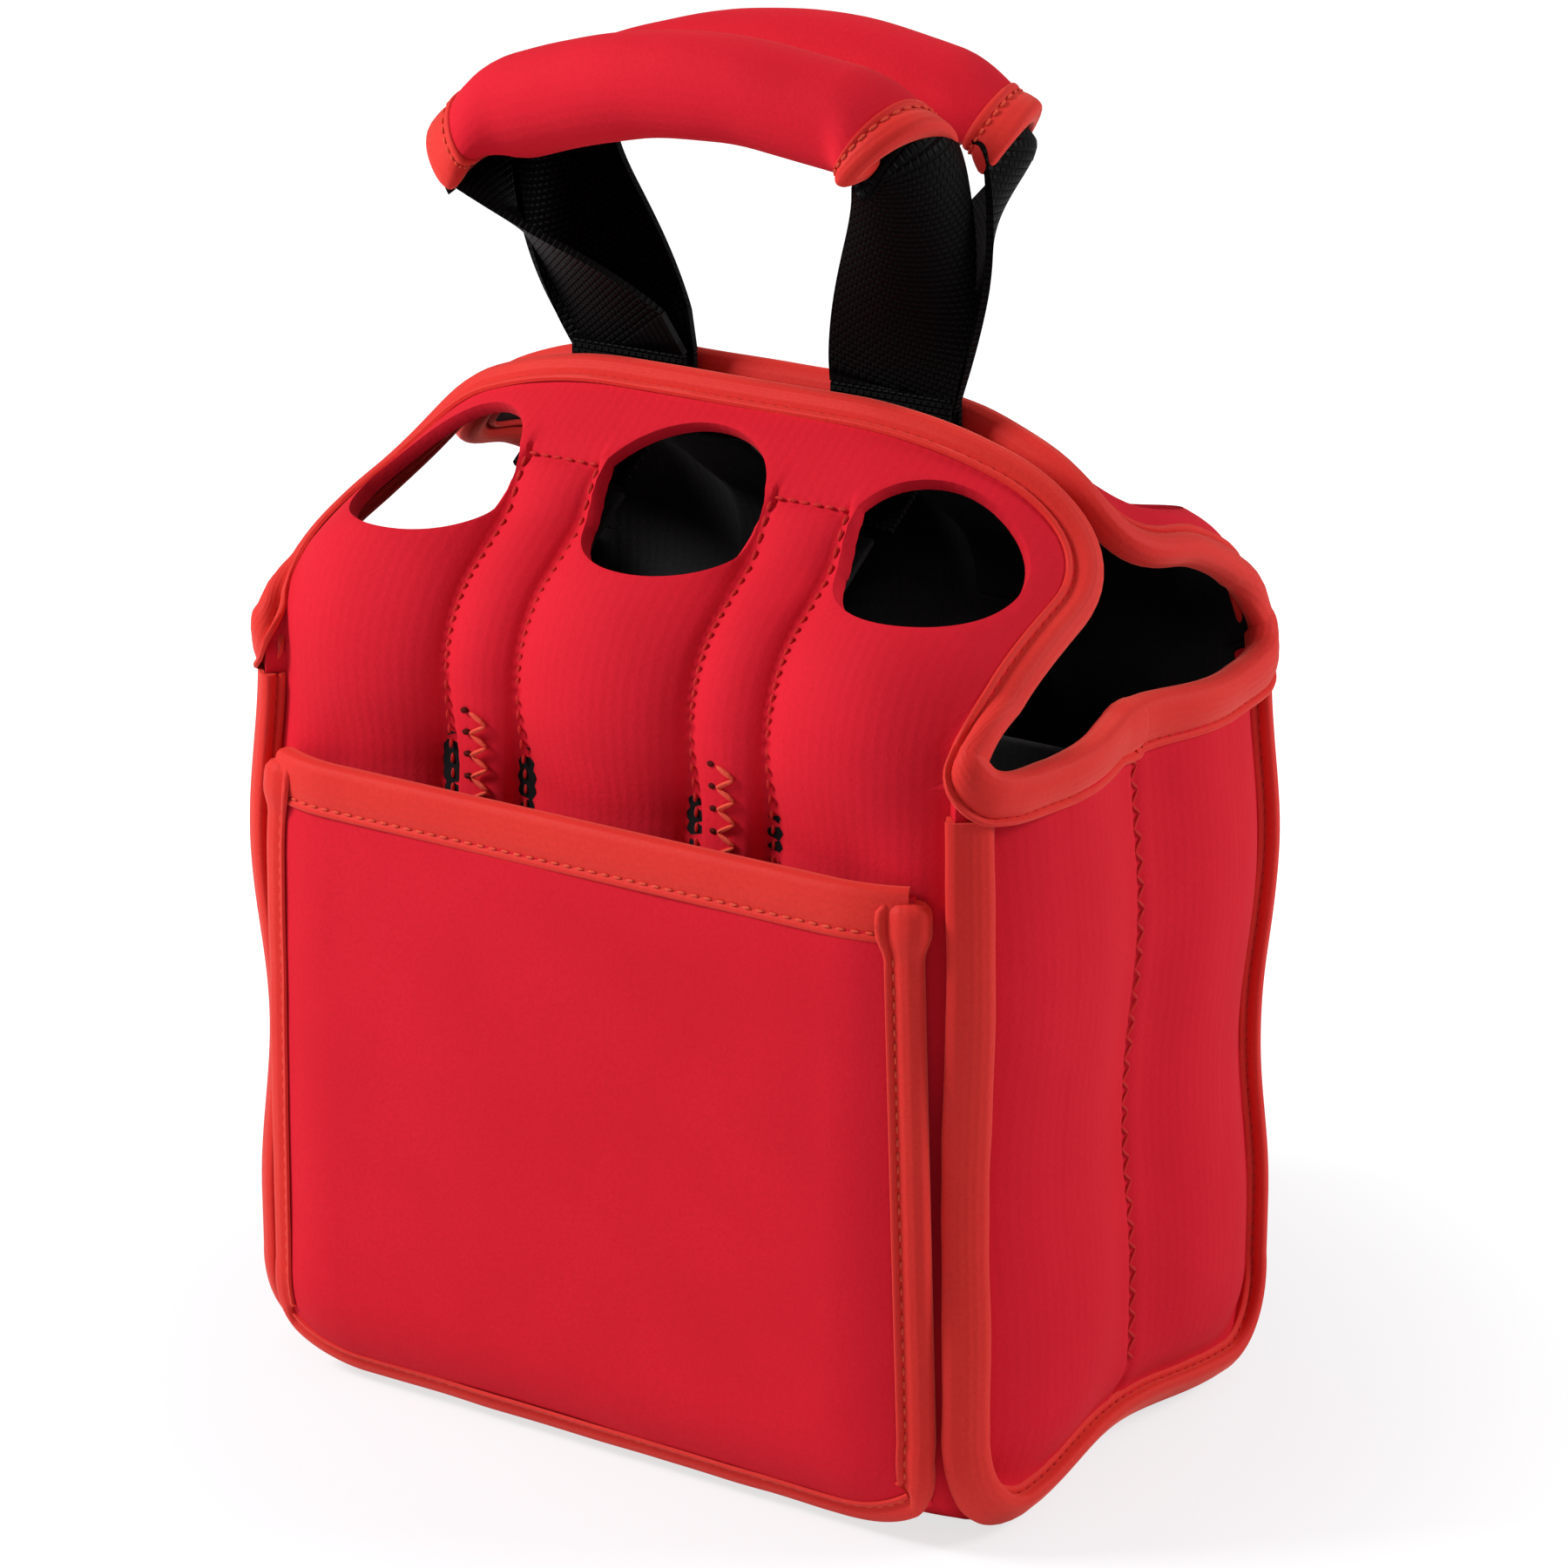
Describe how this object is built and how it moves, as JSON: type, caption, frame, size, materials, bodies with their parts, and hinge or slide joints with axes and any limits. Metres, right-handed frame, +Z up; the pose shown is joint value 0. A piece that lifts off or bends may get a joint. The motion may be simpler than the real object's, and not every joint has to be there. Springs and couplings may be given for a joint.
{
  "type": "six pack carrier",
  "caption": "Soft foam-rubber carrier with separate upright cells, neck holes in two folding flaps, an open front pocket and two padded webbing handles.",
  "frame": {"origin": "on the surface the carrier stands on, midway between its front and back walls and between its ends", "axes": "+X towards the right end seen from the pocket side, -Y out of the pocket side (the front), +Z up"},
  "size_m": [0.202, 0.1451, 0.3076],
  "materials": {
    "foam_rubber": "matte knit-faced foam rubber",
    "binding_tape": "matte stretch knit tape",
    "lining": "matte knit",
    "webbing": "woven, slight sheen",
    "foam": "matte cellular foam"
  },
  "bodies": {
    "carrier_body": {"front_panel": "foam_rubber", "back_panel": "foam_rubber", "bottom_panel": "foam_rubber", "left_end_panel": "foam_rubber", "right_end_panel": "foam_rubber", "left_end_binding": "binding_tape", "right_end_binding": "binding_tape", "left_mouth_binding": "binding_tape", "right_mouth_binding": "binding_tape", "pocket_panel": "foam_rubber", "pocket_hem": "binding_tape", "pocket_binding": "binding_tape", "long_divider": "lining", "left_cross_divider": "lining", "right_cross_divider": "lining", "front_backing_strips": "lining", "back_backing_strips": "lining"},
    "front_flap_body": {"front_flap": "foam_rubber", "front_flap_binding": "binding_tape", "front_flap_backing_strips": "lining", "front_strap_tails": "webbing"},
    "back_flap_body": {"back_flap": "foam_rubber", "back_flap_binding": "binding_tape", "back_flap_backing_strips": "lining", "back_strap_tails": "webbing"},
    "front_handle_body": {"front_strap": "webbing", "front_grip_sleeve": "foam_rubber", "front_grip_padding": "foam", "front_grip_hems": "binding_tape"},
    "back_handle_body": {"back_strap": "webbing", "back_grip_sleeve": "foam_rubber", "back_grip_padding": "foam", "back_grip_hems": "binding_tape"}
  },
  "joints": [
    {"name": "front_flap_fold", "type": "hinge", "parent": "carrier_body", "child": "front_flap_body", "pos_m": [0, -0.0675, 0.17], "axis": [1, 0, 0], "range_deg": [0, 150]},
    {"name": "back_flap_fold", "type": "hinge", "parent": "carrier_body", "child": "back_flap_body", "pos_m": [0, 0.0675, 0.17], "axis": [-1, 0, 0], "range_deg": [0, 150]},
    {"name": "front_handle_fold", "type": "hinge", "parent": "front_flap_body", "child": "front_handle_body", "pos_m": [0, -0.0035, 0.23181], "axis": [1, 0, 0], "range_deg": [0, 80]},
    {"name": "back_handle_fold", "type": "hinge", "parent": "back_flap_body", "child": "back_handle_body", "pos_m": [0, 0.0035, 0.23181], "axis": [-1, 0, 0], "range_deg": [0, 87]}
  ]
}
